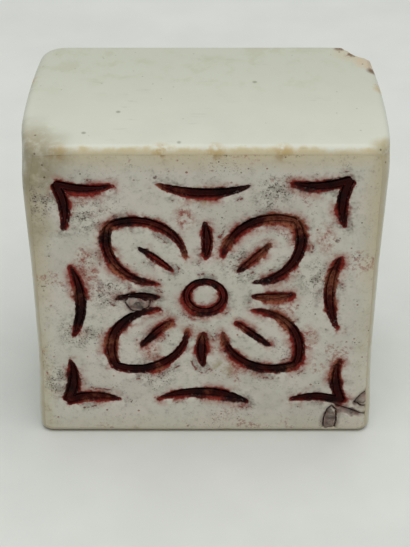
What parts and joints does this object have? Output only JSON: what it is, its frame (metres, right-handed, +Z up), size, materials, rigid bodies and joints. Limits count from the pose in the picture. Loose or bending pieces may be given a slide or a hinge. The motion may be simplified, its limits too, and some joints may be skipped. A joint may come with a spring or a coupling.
{
  "type": "seal stamp",
  "caption": "Low square porcelain seal block, glazed on its sides and back, with a bare seal face cut with a four-petal ornament that still holds seal paste.",
  "frame": {"origin": "on the surface that the block lies on, under the middle of its bounding box", "axes": "+Z up, +X to the right seen from the seal face, -Y out of the seal face, +Y out of the back"},
  "size_m": [0.046, 0.0252, 0.0461],
  "materials": {
    "porcelain_body": "matte, ground",
    "glaze": "soft gloss",
    "seal_paste": "dried paste"
  },
  "bodies": {
    "root": {"porcelain_body": "porcelain_body", "glaze_coat": "glaze", "paste_centre_ring": "seal_paste", "paste_petal_upper_right": "seal_paste", "paste_vein_upper_right": "seal_paste", "paste_bud_top": "seal_paste", "paste_border_top": "seal_paste", "paste_bracket_upper_right": "seal_paste", "paste_petal_upper_left": "seal_paste", "paste_vein_upper_left": "seal_paste", "paste_bud_left": "seal_paste", "paste_border_left": "seal_paste", "paste_bracket_upper_left": "seal_paste", "paste_petal_lower_left": "seal_paste", "paste_vein_lower_left": "seal_paste", "paste_bud_bottom": "seal_paste", "paste_border_bottom": "seal_paste", "paste_bracket_lower_left": "seal_paste", "paste_petal_lower_right": "seal_paste", "paste_vein_lower_right": "seal_paste", "paste_bud_right": "seal_paste", "paste_border_right": "seal_paste", "paste_bracket_lower_right": "seal_paste"}
  },
  "joints": []
}
